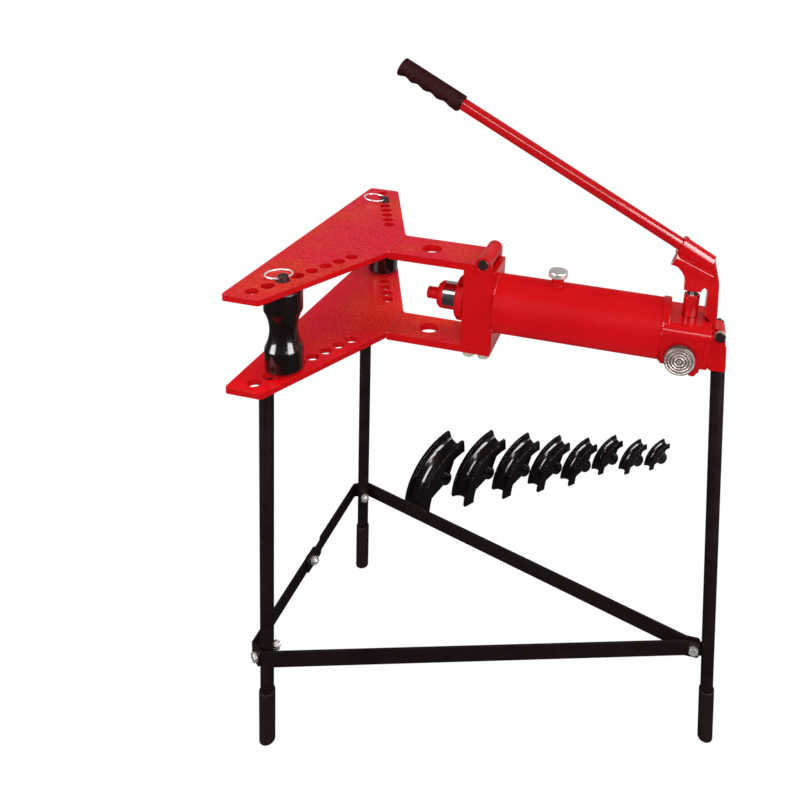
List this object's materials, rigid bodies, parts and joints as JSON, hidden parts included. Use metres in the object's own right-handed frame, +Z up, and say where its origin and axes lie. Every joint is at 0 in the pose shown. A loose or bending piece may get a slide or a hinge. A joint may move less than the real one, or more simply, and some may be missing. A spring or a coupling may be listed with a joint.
{
  "type": "hydraulic pipe bender",
  "caption": "Horizontal hydraulic pipe bender on a braced three-legged stand, with drilled wing plates, grooved rollers on lift-out pins and a hand pump lever.",
  "frame": {"origin": "on the ram axis at the shoulder of the ram nose, where a bending die seats", "axes": "+X along the ram axis towards the pump, +Y to the far side seen from the release knob, +Z up"},
  "size_m": [0.8896, 1.1754, 1.3187],
  "materials": {
    "red_paint": "gloss enamel",
    "black_paint": "satin enamel",
    "black_gloss": "gloss enamel on cast iron",
    "steel": "turned",
    "dark_steel": "oiled black",
    "chrome": "hard chrome",
    "nickel": "bright plated",
    "rubber": "matte"
  },
  "bodies": {
    "stand": {"barrel_cap": "steel", "block_bolts": "dark_steel", "brace_bolts": "nickel", "brace_far_rear": "black_paint", "brace_front_far": "black_paint", "brace_front_near": "black_paint", "brace_near_rear": "black_paint", "bracket_bolts": "red_paint", "cylinder_seals": "rubber", "die_1": "black_gloss", "die_2": "black_gloss", "die_3": "black_gloss", "die_4": "black_gloss", "die_5": "black_gloss", "die_6": "black_gloss", "die_7": "black_gloss", "die_8": "black_gloss", "drain_plug": "red_paint", "filler_gasket": "rubber", "foot_far": "rubber", "foot_near": "rubber", "foot_rear": "rubber", "front_block": "red_paint", "gland_nut": "red_paint", "hinge_pin": "dark_steel", "inner_cylinder": "steel", "leg_far": "black_paint", "leg_near": "black_paint", "leg_rear": "black_paint", "leg_spigots": "black_paint", "lower_wing": "red_paint", "pivot_bolt": "dark_steel", "pivot_nut": "steel", "pivot_washer": "nickel", "plunger_seal": "rubber", "plunger_spring": "steel", "pump_barrel": "red_paint", "pump_body": "red_paint", "rear_bracket": "red_paint", "release_ball": "steel", "tank_tube": "red_paint", "upper_wing": "red_paint"},
    "ram": {"ram_rod": "chrome", "ram_nose": "red_paint", "ram_piston": "steel", "piston_seal": "rubber", "return_spring": "steel"},
    "near_roller": {"roller_near": "black_gloss"},
    "far_roller": {"roller_far": "black_gloss"},
    "near_pin": {"pin_near": "dark_steel"},
    "far_pin": {"pin_far": "dark_steel"},
    "near_ring": {"ring_near": "nickel"},
    "far_ring": {"ring_far": "nickel"},
    "lever": {"lever_casting": "red_paint"},
    "handle": {"handle_tube": "red_paint", "handle_grip": "rubber"},
    "plunger": {"pump_plunger": "steel"},
    "valve": {"release_knob": "nickel", "valve_stem": "steel"},
    "cap": {"filler_cap": "nickel"}
  },
  "joints": [
    {"name": "ram_slide", "type": "slide", "parent": "stand", "child": "ram", "axis": [-1, 0, 0], "range_m": [0, 0.25]},
    {"name": "near_roller_spin", "type": "hinge", "parent": "stand", "child": "near_roller", "pos_m": [-0.19932, -0.21784, 0], "axis": [0, 0, 1], "continuous": true},
    {"name": "far_roller_spin", "type": "hinge", "parent": "stand", "child": "far_roller", "pos_m": [-0.19932, 0.21784, 0], "axis": [0, 0, 1], "continuous": true},
    {"name": "near_pin_lift", "type": "slide", "parent": "stand", "child": "near_pin", "axis": [0, 0, 1], "range_m": [0, 0.19]},
    {"name": "far_pin_lift", "type": "slide", "parent": "stand", "child": "far_pin", "axis": [0, 0, 1], "range_m": [0, 0.19]},
    {"name": "near_ring_swing", "type": "hinge", "parent": "near_pin", "child": "near_ring", "pos_m": [-0.19932, -0.21784, 0.0927], "axis": [0.682, 0.7314, 0], "range_deg": [0, 180]},
    {"name": "far_ring_swing", "type": "hinge", "parent": "far_pin", "child": "far_ring", "pos_m": [-0.19932, 0.21784, 0.0927], "axis": [-0.1392, 0.9903, 0], "range_deg": [-10, 165]},
    {"name": "lever_hinge", "type": "hinge", "parent": "stand", "child": "lever", "pos_m": [0.5115, 0, 0.012], "axis": [0, 1, 0], "range_deg": [-7, 25]},
    {"name": "handle_pull", "type": "slide", "parent": "lever", "child": "handle", "axis": [-0.891, 0, 0.454], "range_m": [0, 0.1]},
    {"name": "plunger_slide", "type": "slide", "parent": "stand", "child": "plunger", "axis": [0, 0, 1], "range_m": [-0.0068, 0.0242], "deforming": ["plunger_spring"]},
    {"name": "valve_turn", "type": "hinge", "parent": "stand", "child": "valve", "pos_m": [0.4466, -0.068, -0.0208], "axis": [0, -1, 0], "range_deg": [0, 360]},
    {"name": "cap_turn", "type": "hinge", "parent": "stand", "child": "cap", "pos_m": [0.22, 0, 0.07], "axis": [0, 0, 1], "range_deg": [0, 360]}
  ],
  "couplings": [
    {"joint": "plunger_slide", "follows": "lever_hinge", "m_per_rad": 0.0547}
  ]
}
